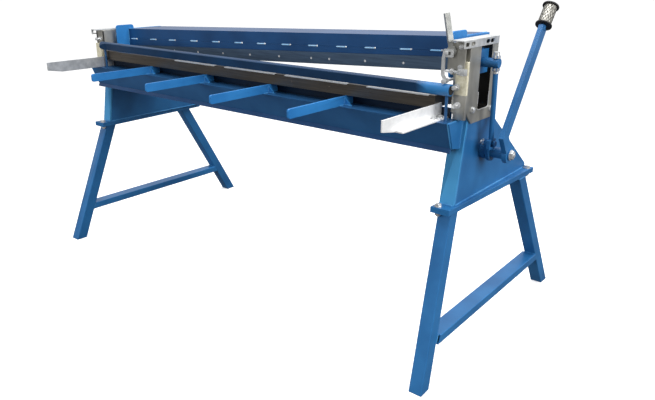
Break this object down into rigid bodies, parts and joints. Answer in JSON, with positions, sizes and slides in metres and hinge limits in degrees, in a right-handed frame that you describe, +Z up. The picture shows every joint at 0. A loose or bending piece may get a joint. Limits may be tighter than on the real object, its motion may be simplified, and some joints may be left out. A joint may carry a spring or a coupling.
{
  "type": "manual sheet metal shear",
  "caption": "Manual sheet metal shear on braced legs: a raked upper blade beam in end guides is drawn down onto the bed by a long hand lever, with a clamped hold-down tube.",
  "frame": {"origin": "on the floor under the middle of the whole machine", "axes": "+X along the bed towards the hand lever, +Y away from the operator, +Z up"},
  "size_m": [2.1902, 1.1952, 1.2368],
  "materials": {
    "blue_paint": "semi-gloss blue enamel",
    "blade_steel": "ground, darkened",
    "bare_steel": "milled, satin",
    "zinc": "bright zinc plated, satin",
    "guide_cream": "matte",
    "grip": "matte, knurled"
  },
  "bodies": {
    "frame": {"apron": "blue_paint", "apron_end_left": "blue_paint", "apron_end_right": "blue_paint", "bed_bar": "bare_steel", "bed_web": "blue_paint", "clamp_bracket": "bare_steel", "flange_bolt_front_left": "zinc", "flange_bolt_front_right": "zinc", "flange_bolt_rear_left": "zinc", "flange_bolt_rear_right": "zinc", "guide_bar_left": "guide_cream", "guide_bar_right": "guide_cream", "guide_bracket_left": "zinc", "guide_bracket_right": "zinc", "guide_plate_left": "bare_steel", "guide_plate_right": "bare_steel", "housing_base_left": "blue_paint", "housing_base_right": "blue_paint", "housing_front_left": "blue_paint", "housing_front_right": "blue_paint", "housing_inner_left": "blue_paint", "housing_inner_right": "blue_paint", "housing_outer_left": "blue_paint", "housing_outer_right": "blue_paint", "housing_rear_left": "blue_paint", "housing_rear_right": "blue_paint", "leg_crossbar_left": "blue_paint", "leg_crossbar_right": "blue_paint", "leg_front_left": "blue_paint", "leg_front_right": "blue_paint", "leg_plate_left": "blue_paint", "leg_plate_right": "blue_paint", "leg_rear_left": "blue_paint", "leg_rear_right": "blue_paint", "lower_blade": "blade_steel", "shaft_bush_left": "blue_paint", "shaft_bush_right": "blue_paint", "squaring_arm_left": "zinc", "squaring_arm_right": "zinc", "support_arm_1": "blue_paint", "support_arm_2": "blue_paint", "support_arm_3": "blue_paint", "support_arm_4": "blue_paint"},
    "beam": {"upper_beam": "blue_paint", "blade_carrier": "blue_paint", "upper_blade": "blade_steel", "beam_end_plate_left": "blue_paint", "beam_end_plate_right": "blue_paint", "slide_block_left": "blue_paint", "slide_block_right": "blue_paint", "connecting_rod_left": "blue_paint", "connecting_rod_right": "blue_paint"},
    "drive": {"torsion_shaft": "blue_paint", "crank_left": "blue_paint", "crank_right": "blue_paint", "lever": "blue_paint", "lever_grip": "grip"},
    "hold_down": {"hold_down": "blue_paint", "clamp_link": "zinc"},
    "clamp_handle": {"clamp_handle": "zinc"}
  },
  "joints": [
    {"name": "beam_slide", "type": "slide", "parent": "frame", "child": "beam", "axis": [0, 0, 1], "range_m": [-0.068, 0]},
    {"name": "lever_turn", "type": "hinge", "parent": "frame", "child": "drive", "pos_m": [-0.0292, -0.10455, 0.752], "axis": [1, 0, 0], "range_deg": [-0.1, 83.1]},
    {"name": "clamp_handle_turn", "type": "hinge", "parent": "frame", "child": "clamp_handle", "pos_m": [0.9308, -0.28856, 1.099], "axis": [0, -1, 0], "range_deg": [0, 45.1]},
    {"name": "hold_down_slide", "type": "slide", "parent": "frame", "child": "hold_down", "axis": [0, 0, 1], "range_m": [-0.0055, 0]}
  ],
  "couplings": [
    {"joint": "lever_turn", "follows": "beam_slide", "rad_per_m": -21.28},
    {"joint": "clamp_handle_turn", "follows": "hold_down_slide", "rad_per_m": -142.8}
  ]
}
